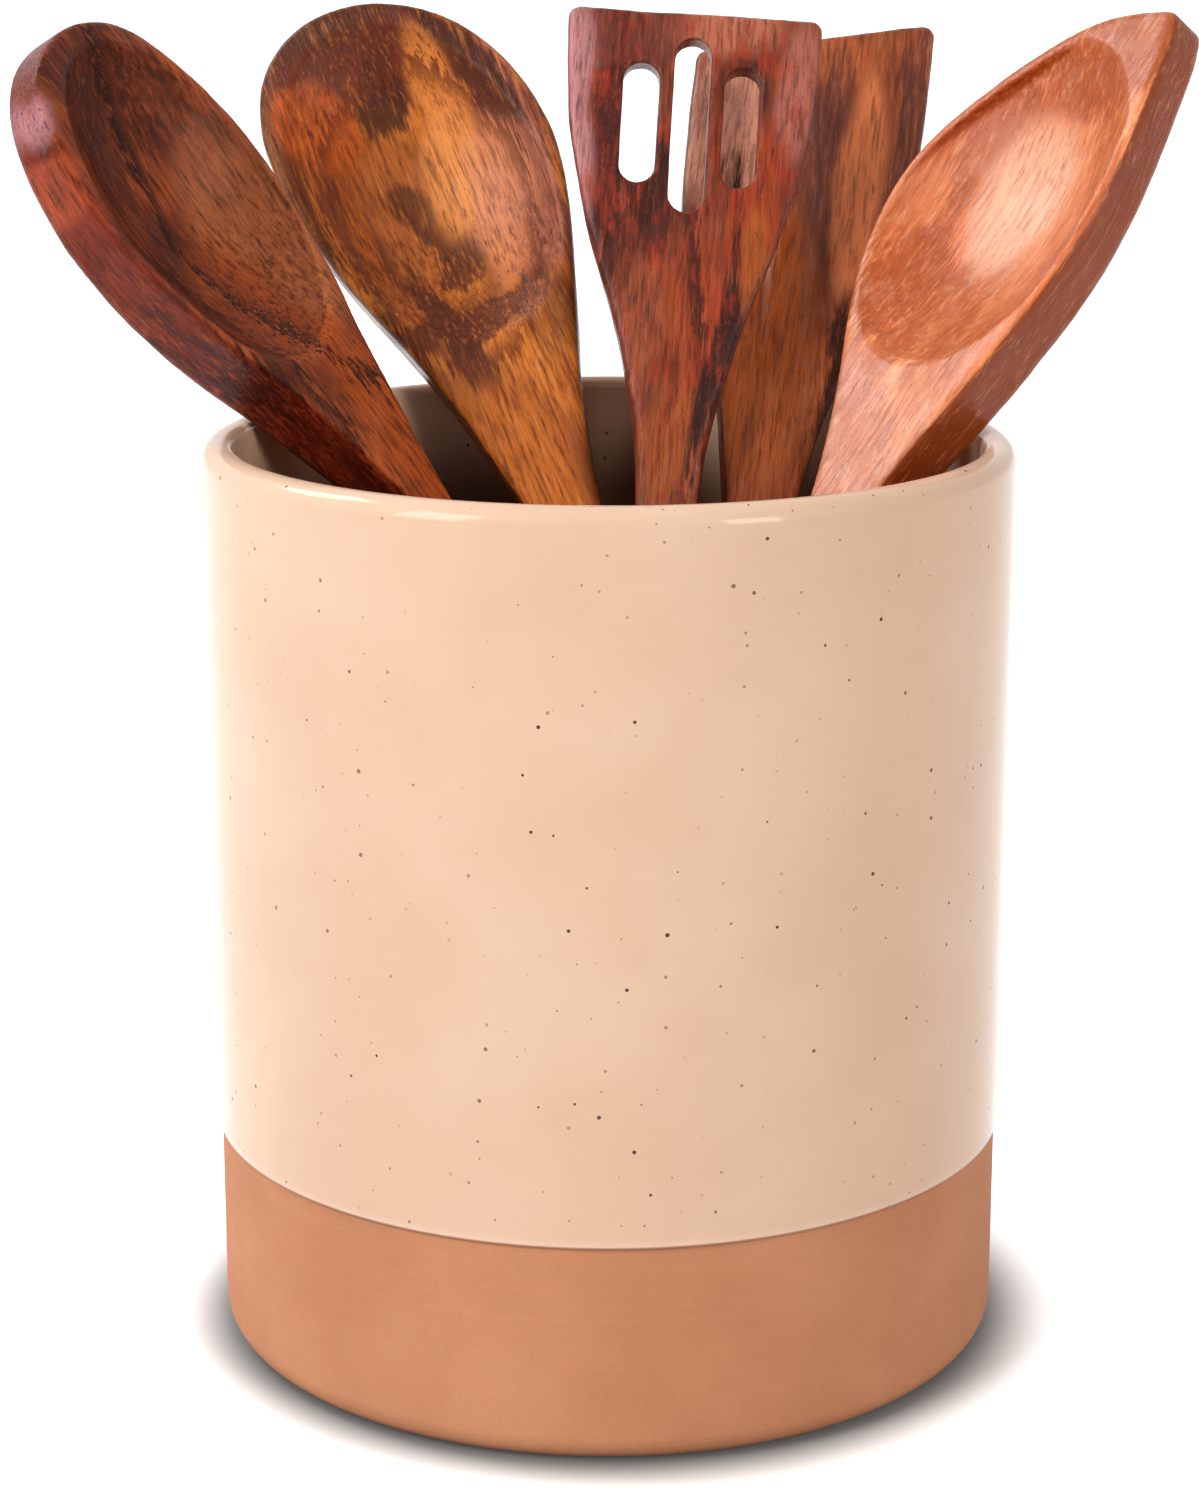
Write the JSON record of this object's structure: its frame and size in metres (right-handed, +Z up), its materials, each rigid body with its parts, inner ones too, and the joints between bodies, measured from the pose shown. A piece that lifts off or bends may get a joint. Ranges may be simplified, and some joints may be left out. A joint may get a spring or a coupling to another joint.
{
  "type": "utensil crock",
  "caption": "Straight-sided glazed stoneware crock with a bare clay foot, holding wooden cooking spoons and turners that lift out one by one.",
  "frame": {"origin": "on the crock's axis, in the plane of its foot ring", "axes": "+Z up the crock's axis, -Y towards the side seen in the picture, +X to the right there"},
  "size_m": [0.2347, 0.1823, 0.2639],
  "materials": {
    "bare_clay": "matt fired clay",
    "speckled_glaze": "glossy cream with dark speckles",
    "deep_spoon_wood": "oiled, dark brown",
    "oval_spoon_wood": "oiled, orange brown",
    "slotted_turner_wood": "oiled, red brown",
    "angled_turner_wood": "oiled, purple brown",
    "corner_spoon_wood": "oiled, light brown"
  },
  "bodies": {
    "crock": {"clay_body": "bare_clay", "cream_glaze": "speckled_glaze"},
    "deep_spoon_body": {"deep_spoon": "deep_spoon_wood"},
    "oval_spoon_body": {"oval_spoon": "oval_spoon_wood"},
    "slotted_turner_body": {"slotted_turner": "slotted_turner_wood"},
    "angled_turner_body": {"angled_turner": "angled_turner_wood"},
    "corner_spoon_body": {"corner_spoon": "corner_spoon_wood"}
  },
  "joints": [
    {"name": "deep_spoon_lift", "type": "slide", "parent": "crock", "child": "deep_spoon_body", "axis": [-0.54, -0.0288, 0.8411], "range_m": [0, 0.222]},
    {"name": "oval_spoon_lift", "type": "slide", "parent": "crock", "child": "oval_spoon_body", "axis": [-0.3804, 0.3618, 0.8511], "range_m": [0, 0.22]},
    {"name": "slotted_turner_lift", "type": "slide", "parent": "crock", "child": "slotted_turner_body", "axis": [0.0601, 0.3905, 0.9186], "range_m": [0, 0.2]},
    {"name": "angled_turner_lift", "type": "slide", "parent": "crock", "child": "angled_turner_body", "axis": [0.128, 0.535, 0.8351], "range_m": [0, 0.222]},
    {"name": "corner_spoon_lift", "type": "slide", "parent": "crock", "child": "corner_spoon_body", "axis": [0.5253, 0.1947, 0.8284], "range_m": [0, 0.224]}
  ]
}
